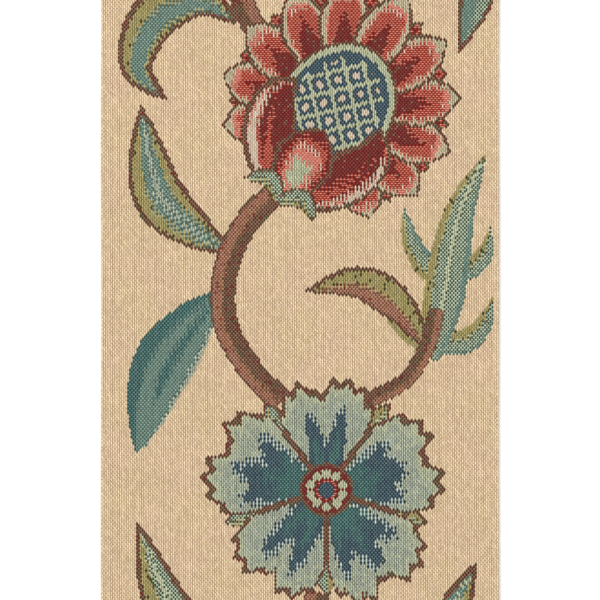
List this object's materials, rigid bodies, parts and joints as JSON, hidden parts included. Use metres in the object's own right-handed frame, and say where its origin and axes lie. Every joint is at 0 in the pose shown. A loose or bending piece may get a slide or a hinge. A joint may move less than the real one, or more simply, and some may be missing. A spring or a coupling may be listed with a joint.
{
  "type": "woven crewel-style tapestry panel",
  "caption": "Narrow rectangular panel of woven tapestry cloth with turned hems and a crewel-style flower design, lying flat face up.",
  "frame": {"origin": "middle of the flat underside", "axes": "+Z out of the woven face, +Y along the length towards the top of the design, +X across to the right"},
  "size_m": [0.1802, 0.3602, 0.0022],
  "materials": {
    "tapestry_cloth": "matt ribbed tapestry weave in cream, with brick red, maroon, navy, teal, seafoam, green, olive and brown yarns"
  },
  "bodies": {
    "root": {"panel_cloth": "tapestry_cloth"}
  },
  "joints": []
}
